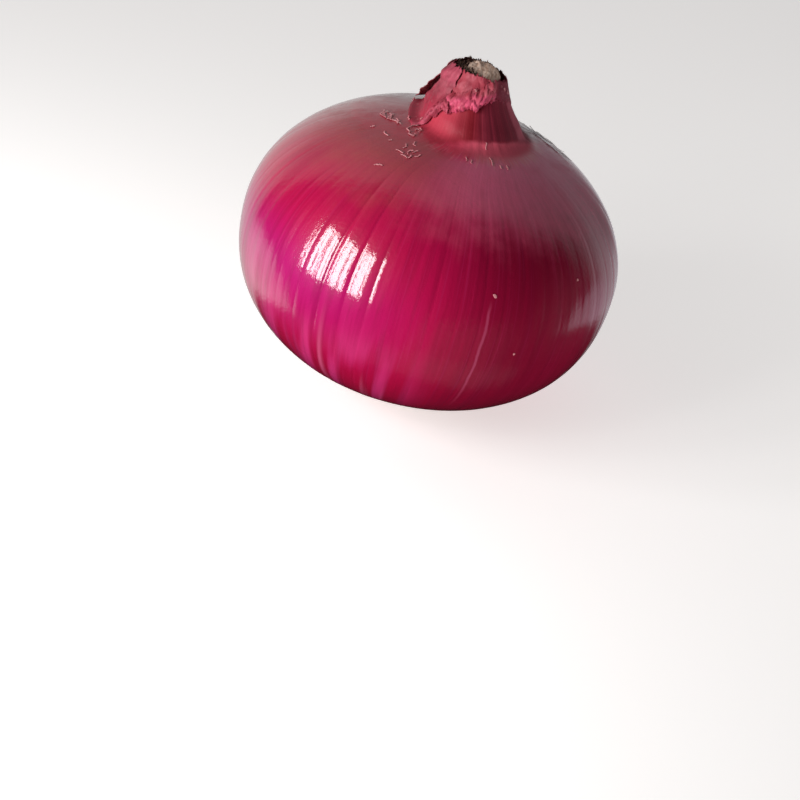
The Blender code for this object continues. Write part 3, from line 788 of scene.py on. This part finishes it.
plate = {
    # the flat worn spot, then the side: radius and height, from the floor up
    "spot": 5.2 * mm, "spotRings": 6,
    "side": ((7.5 * mm, 1.1 * mm), (7.95 * mm, 1.7 * mm), (8.1 * mm, 2.5 * mm), (7.8 * mm, 3.7 * mm),
             (7.4 * mm, 4.9 * mm), (0.0, 4.9 * mm)),
    "steps": 96, "flat": 0.2 * mm, "relief": 0.0432, "pits": 0.12 * mm, "pitShare": 0.9,
}
roots = {
    "count": 30, "radius": 0.42 * mm, "tipShare": 0.7, "start": 5.6 * mm, "reach": (10.0 * mm, 15.5 * mm),
    "floorGap": 0.4 * mm, "skinGap": 0.45 * mm, "curl": 26.0, "seed": 21, "points": 9,
    "fineCount": 46, "fineRadius": 0.16 * mm, "fineReach": (9.0 * mm, 13.5 * mm),
}


def makePlate(p, material):
    outline = [(p["spot"] * row / p["spotRings"], 0.0) for row in range(p["spotRings"] + 1)]
    piece = turnedPiece("rootPlate", outline + list(p["side"]), p["steps"])
    for vert in piece.data.vertices:
        if vert.co.z > p["flat"]:
            vert.co *= 1 - p["relief"] * abs(noise.noise(vert.co * 900))
        elif math.hypot(vert.co.x, vert.co.y) < p["spot"] * p["pitShare"]:
            vert.co.z += p["pits"] * abs(noise.noise(vert.co * 1200))
    return finishPiece(piece, material, "root_cork", "root_plate")


def rootLine(draw, angle, p, reachRange, radius):
    reach = draw.uniform(*reachRange)
    curl = math.radians(draw.uniform(-p["curl"], p["curl"]))
    level = draw.uniform(0.1, 0.9)
    line = []
    for step in range(p["points"]):
        share = step / (p["points"] - 1)
        at = p["start"] + (reach - p["start"]) * share
        low = p["floorGap"] + radius
        high = lowerHeight(max(at, form["dimpleRadius"])) - p["skinGap"] - radius
        height = low + (high - low) * (0.5 + (level - 0.5) * share)
        turn = angle + curl * share**2
        line.append((at * math.cos(turn), at * math.sin(turn), height))
    return line


def makeRoots(p, material):
    deselect()
    curve = bpy.data.curves.new("driedRoots", "CURVE")
    curve.dimensions = "3D"
    curve.bevel_depth = p["radius"]
    curve.bevel_resolution = 2
    curve.use_fill_caps = True
    draw = random.Random(p["seed"])
    lines = []
    for index in range(p["count"]):
        angle = 2 * math.pi * (index + draw.uniform(-0.3, 0.3)) / p["count"]
        lines.append((rootLine(draw, angle, p, p["reach"], p["radius"]), 1.0))
    fineShare = p["fineRadius"] / p["radius"]
    for index in range(p["fineCount"]):
        angle = 2 * math.pi * draw.random()
        lines.append((rootLine(draw, angle, p, p["fineReach"], p["fineRadius"]), fineShare))
    for line, size in lines:
        spline = curve.splines.new("POLY")
        spline.points.add(len(line) - 1)
        for i, (point, where) in enumerate(zip(spline.points, line)):
            point.co = (*where, 1)
            point.radius = size * (1 + (p["tipShare"] - 1) * i / (len(line) - 1))
    piece = bpy.data.objects.new("driedRoots", curve)
    bpy.context.scene.collection.objects.link(piece)
    piece.select_set(True)
    bpy.context.view_layer.objects.active = piece
    bpy.ops.object.convert(target="MESH")
    return finishPiece(bpy.context.object, material, "root_cork")


makePlate(plate, corkFibre("rootCork", rootPaint["cork"], rootPaint["corkShade"], 1.2 * mm))
makeRoots(roots, corkFibre("driedRootFibre", rootPaint["root"], rootPaint["rootShade"], 0.8 * mm))

# shreds: thin curled threads of torn skin, each (degrees, radius, height) at both ends, width, bend and lift
shreds = {
    "bulbSkin": (
        (-168, 19.4, 64.9, -179, 19.1, 64.9, 0.38, 0.10, 0.15),
        (-165, 19.0, 65.0, -177, 18.5, 65.1, 0.42, 0.20, 0.20),
        (-163, 18.5, 65.1, -173, 17.9, 65.3, 0.40, -0.15, 0.15),
        (-161, 18.1, 65.2, -171, 17.3, 65.5, 0.45, 0.20, 0.22),
        (-166, 18.5, 65.3, -153, 16.8, 65.6, 0.34, 0.15, 0.18),
        (-162, 17.1, 65.5, -154, 17.4, 65.4, 0.30, 0.30, 0.25),
        (-141, 16.5, 65.7, -149, 15.2, 66.0, 0.24, 0.35, 0.20),
        (-149, 15.2, 66.0, -148, 13.8, 66.3, 0.30, 0.40, 0.25),
        (-142, 16.1, 65.8, -135, 16.7, 65.6, 0.24, -0.35, 0.20),
        (-133, 16.9, 65.6, -136, 15.8, 66.0, 0.24, 0.30, 0.30),
        (-137, 15.0, 65.9, -143, 13.8, 66.5, 0.24, -0.25, 0.30),
        (-141, 15.3, 65.9, -142, 14.2, 66.1, 0.28, 0.40, 0.20),
        (-154, 22.1, 63.9, -155, 21.3, 64.1, 0.40, 0.10, 0.12),
        (-136, 21.2, 64.2, -136, 20.7, 64.4, 0.35, 0.0, 0.12),
        (-121, 22.5, 63.8, -117, 22.5, 63.8, 0.28, 0.40, 0.15),
        (-117, 22.6, 63.8, -117, 21.3, 64.1, 0.26, -0.30, 0.20),
        (-119, 21.6, 64.1, -120, 19.9, 64.6, 0.26, 0.35, 0.20),
        (-118, 20.7, 64.5, -117, 19.4, 64.8, 0.24, 0.30, 0.15),
        (-115, 21.2, 64.3, -114, 19.9, 64.7, 0.26, -0.30, 0.18),
        (-126, 22.1, 63.9, -121, 22.0, 63.9, 0.28, 0.30, 0.15),
        (-147, 20.4, 64.5, -141, 20.5, 64.5, 0.28, -0.20, 0.12),
        (-125, 27.9, 61.3, -122, 26.9, 61.9, 0.30, 0.25, 0.10),
        (-128, 19.4, 64.8, -125, 20.8, 64.4, 0.22, 0.35, 0.12),
        (-123, 18.6, 65.0, -127, 17.6, 65.3, 0.22, 0.30, 0.12),
        (-70, 11.0, 68.4, -71, 12.3, 67.4, 0.20, 0.10, 0.06),
        (-69, 13.9, 66.3, -67, 16.5, 65.6, 0.24, 0.15, 0.06),
        (-89, 15.3, 65.9, -87, 16.7, 65.6, 0.22, 0.10, 0.06),
        (-55, 16.3, 65.7, -55, 17.6, 65.4, 0.30, 0.20, 0.06),
        (-84, 16.0, 65.8, -83, 17.2, 65.5, 0.20, 0.15, 0.06),
        (-61, 16.2, 65.7, -60, 17.4, 65.4, 0.22, 0.10, 0.06),
        (-67.7, 41.5, 48.0, -66.6, 41.5, 47.3, 0.45, 0.05, 0.02),
        (-36.3, 40.3, 49.5, -35.7, 40.3, 49.5, 0.4, 0.0, 0.03),
        (-57.3, 43.9, 34.8, -56.7, 43.9, 34.8, 0.35, 0.0, 0.03),
    ),
    "neckSkin": (
        (-93, 7.5, 78.3, -90, 7.5, 77.5, 0.26, 0.30, 0.12),
        (-77, 7.6, 75.2, -74, 7.6, 74.8, 0.30, 0.20, 0.15),
        (-30, 7.2, 79.0, -26, 7.2, 78.2, 0.30, 0.30, 0.15),
        (-16, 7.3, 78.2, -14, 7.3, 77.2, 0.30, -0.30, 0.15),
        (-66, 7.6, 76.5, -60, 7.4, 76.9, 0.26, 0.30, 0.15),
        (-84, 7.9, 75.8, -78, 7.9, 76.4, 0.26, -0.25, 0.12),
    ),
    "flapSkin": (
        (-166, 15.6, 66.0, -160, 14.8, 66.8, 0.30, 0.30, 0.20),
        (-155, 10.5, 71.1, -143, 10.0, 70.7, 0.26, 0.20, 0.15),
        (-144, 9.6, 71.7, -134, 9.0, 72.7, 0.24, 0.15, 0.15),
        (-149, 11.0, 69.9, -152, 13.0, 67.5, 0.20, 0.12, 0.20),
        (-138, 9.4, 72.2, -140, 9.8, 71.0, 0.22, 0.30, 0.20),
        (-212, 18.0, 66.0, -208, 18.2, 65.9, 0.55, 0.20, 0.25),
    ),
    "columns": 12, "rows": 3, "thickness": 0.10 * mm, "seed": 6, "widen": 1.3,
}
# how each one lies, the loose skin below too
thread = {
    "step": 0.05,   # how far ahead it looks for its way, as a share of its length
    "bow": 0.6, "sway": 0.12, "narrow": 0.35, "fray": 0.8,   # shares of its bend, length and width
    "raised": 0.4, "curl": 0.6, "ripple": 0.6, "clear": 0.03,   # shares of its lift, and millimetres
}


def makeShreds(name, p, material, targets):
    draw = random.Random(p["seed"])
    parts = []
    for target in targets:
        for shred in p.get(target.name, ()):
            start, end = shred[:3], shred[3:6]
            width, bend, lift = shred[6:]
            seed = draw.uniform(0, 50)

            def shape(across, up):
                # along the thread, laid on the skin below it and curled up at its ends
                degrees, radius, height = (a + (b - a) * across for a, b in zip(start, end))
                ahead = [a + (b - a) * (across + thread["step"]) for a, b in zip(start, end)]
                here = place(math.radians(degrees), radius * mm, height * mm)
                way = (place(math.radians(ahead[0]), ahead[1] * mm, ahead[2] * mm) - here) / thread["step"]
                here, normal = target.closest_point_on_mesh(here)[1:3]
                side = normal.cross(way).normalized()
                arch = math.sin(math.pi * across)
                swing = thread["bow"] * bend * way.length * arch
                swing += thread["sway"] * way.length * noise.noise(Vector((across * 4, seed, 0)))
                share = thread["narrow"] + (1 - thread["narrow"]) * arch**0.5
                edge = (up - 0.5) * width * p["widen"] * mm * share
                edge *= 1 + thread["fray"] * noise.noise(Vector((across * 7, up * 2, seed)))
                raised = thread["raised"] + (2 * across - 1) ** 2 * thread["curl"]
                raised += thread["ripple"] * noise.noise(Vector((across * 3, up, seed + 9)))
                mark = (across * way.length / mm, up * width, 0.0)
                return here + side * (swing + edge) + normal * (lift * raised + thread["clear"]) * mm, mark

            parts.append(sheetPiece("shred", p["columns"], p["rows"], shape, p["thickness"]))
    deselect()
    for part in parts:
        part.select_set(True)
    bpy.context.view_layer.objects.active = parts[0]
    bpy.ops.object.join()
    piece = bpy.context.object
    piece.name = piece.data.name = name
    return finishPiece(piece, material, "dry_skin")


# torn skin is one layer thin, so it is pale and lets the skin below it through
shredPaint = {
    **dryPaint, "close": "#D88E94", "rose": "#EAB8B8", "pale": "#F6E2DE", "sheer": 0.3,
    "layers": (("rose", 0.9, "patch"), ("close", 0.4, "fibre"), ("pale", 0.22, "speck", "patch")),
}
makeShreds("skinShreds", shreds, drySkin("paleSkinShreds", shredPaint), (bulbSkin, neckSkin, flapSkin))

# loose skin: sheer strips that have come away from the shoulder at the back
looseSkin = {
    "bulbSkin": (
        (52, 15.5, 66.0, 27, 22.5, 63.6, 2.0, 0.04, 0.50),
        (38, 19.0, 64.9, 19, 27.0, 61.7, 2.2, -0.05, 0.55),
        (44, 17.5, 65.3, 24, 25.5, 62.3, 1.4, 0.06, 0.80),
    ),
    "columns": 40, "rows": 3, "thickness": 0.05 * mm, "seed": 8, "widen": 1.0,
}
loosePaint = {**shredPaint, "close": "#C8C0BE", "rose": "#DCD6D4", "pale": "#F0ECEA", "sheer": 0.6}
makeShreds("looseSkin", looseSkin, drySkin("sheerLooseSkin", loosePaint), (bulbSkin,))

# studio: a window card at the front left, a room that is bright behind and dark in front, a pale floor
studio = {
    "window": {
        "azimuth": -136.0, "distance": 240 * mm, "height": 80 * mm,
        "size": (40 * mm, 178 * mm), "radiance": 14.4,
    },
    "panes": (-48 * mm, 8 * mm, 64 * mm),
    "bounce": {
        "azimuth": -54.0, "distance": 400 * mm, "height": -210 * mm,
        "size": (400 * mm, 400 * mm), "radiance": 3.5,
    },
    "side": {
        "azimuth": 12.0, "distance": 400 * mm, "height": 10 * mm,
        "size": (300 * mm, 300 * mm), "radiance": 2.6,
    },
    "aim": (0, 0, 44 * mm),
    "dark": "#141214", "glow": "#5E545A", "backRight": "#B4B4BA", "backLeft": "#D8D4D2",
    "leftFloor": "#FFFFFF", "overhead": "#7C7A7E", "rightWall": "#C2BECC",
    "ways": {
        "behind": (0, 1, 0.2), "above": (-0.22, 0, 1), "leftFloor": (-0.75, 0.25, -0.61),
        "rightWall": (0.84, 0.42, -0.35), "corner": (0.40, 0.91, 0.05),
    },
    "narrowing": -0.3,   # how fast the bright wall behind ends to each side
    # what each mask reads, and where it starts and is full
    "ranges": {
        "behind": ("behind", 0.02, 0.46), "near": ("Y", 0.1, -0.2), "above": ("above", -0.60, -0.50),
        "left": ("X", 0.5, -0.5), "leftFloor": ("leftFloor", 0.89, 0.97),
        "rightWall": ("rightWall", 0.92, 0.98), "corner": ("corner", 0.94, 0.99),
        "high": ("Z", 0.05, 0.50), "down": ("Z", -0.58, -0.75), "shallow": ("Z", -0.95, -0.86),
    },
    # colours from the lowest up: how strong each is, and the masks it shows through
    "layers": (
        ("glow", 1.0, "down", "shallow", "near"), ("backRight", 1.0, "behind", "above"),
        ("backLeft", 1.0, "behind", "above", "left"), ("overhead", 0.75, "behind", "high"),
        ("leftFloor", 1.0, "leftFloor", "above"), ("rightWall", 1.0, "rightWall", "above"),
        ("dark", 0.6, "corner"),
    ),
    "floor": "#F2F0EE", "floorSize": 30.0, "floorGlow": 0.6,
}


def makeCard(name, p, aim, across=0.0):
    deselect()
    bpy.ops.object.light_add(type="AREA")
    lamp = bpy.context.object
    lamp.name = name
    lamp.data.shape = "RECTANGLE"
    lamp.data.size, lamp.data.size_y = p["size"]
    lamp.data.energy = p["radiance"] * math.pi * p["size"][0] * p["size"][1]
    turn = math.radians(p["azimuth"])
    lamp.location = (p["distance"] * math.cos(turn) - across * math.sin(turn),
                     p["distance"] * math.sin(turn) + across * math.cos(turn), p["height"])
    lamp.rotation_euler = (Vector(aim) - lamp.location).to_track_quat("-Z", "Y").to_euler()
    lamp.visible_camera = False
    return lamp


def makeRoom(p):
    # bright behind, more so at the left, darker overhead and at one corner, and dark in front
    world = bpy.data.worlds.new("softRoom")
    bpy.context.scene.world = world
    world.use_nodes = True
    tree = world.node_tree
    way = (addNode(tree, "TexCoord"), "Generated")
    part = addNode(tree, "SeparateXYZ", {0: way})
    reads = {axis: (part, axis) for axis in "XYZ"}
    for name, direction in p["ways"].items():
        reads[name] = (addNode(tree, "VectorMath", {0: way, 1: direction}, operation="DOT_PRODUCT"), "Value")
    aside = addNode(tree, "Math", {0: reads["X"]}, operation="ABSOLUTE")
    reads["behind"] = addNode(tree, "Math", {0: aside, 1: p["narrowing"], 2: reads["behind"]},
                              operation="MULTIPLY_ADD")
    mask = makeMasks(tree, {
        name: (reads[source], start, end) for name, (source, start, end) in p["ranges"].items()
    })
    room = layerPaint(tree, p["dark"], [
        (p[shade], share, *[mask[name] for name in over]) for shade, share, *over in p["layers"]
    ])
    plug(tree, room, tree.nodes["Background"].inputs["Color"])


def makeFloor(p):
    # only the camera sees it, so that what the skin mirrors is set by the room alone
    deselect()
    bpy.ops.mesh.primitive_plane_add(size=p["floorSize"], location=(0, 0, 0))
    floor = bpy.context.object
    floor.name = "floor"
    material, tree, shader = startMaterial("paleFloor", Roughness=0.7, Emission_Strength=p["floorGlow"])
    shader.inputs["Base Color"].default_value = colour(p["floor"])
    shader.inputs["Emission Color"].default_value = colour(p["floor"])
    floor.data.materials.append(material)
    floor.visible_diffuse = floor.visible_glossy = floor.visible_shadow = False


for number, across in enumerate(studio["panes"], 1):
    makeCard(f"windowPane{number}", studio["window"], studio["aim"], across)
for name in ("bounce", "side"):
    makeCard(name, studio[name], studio["aim"]).visible_glossy = False
makeRoom(studio)
makeFloor(studio)
bpy.context.scene.view_settings.view_transform = "Standard"
print("studio lit")
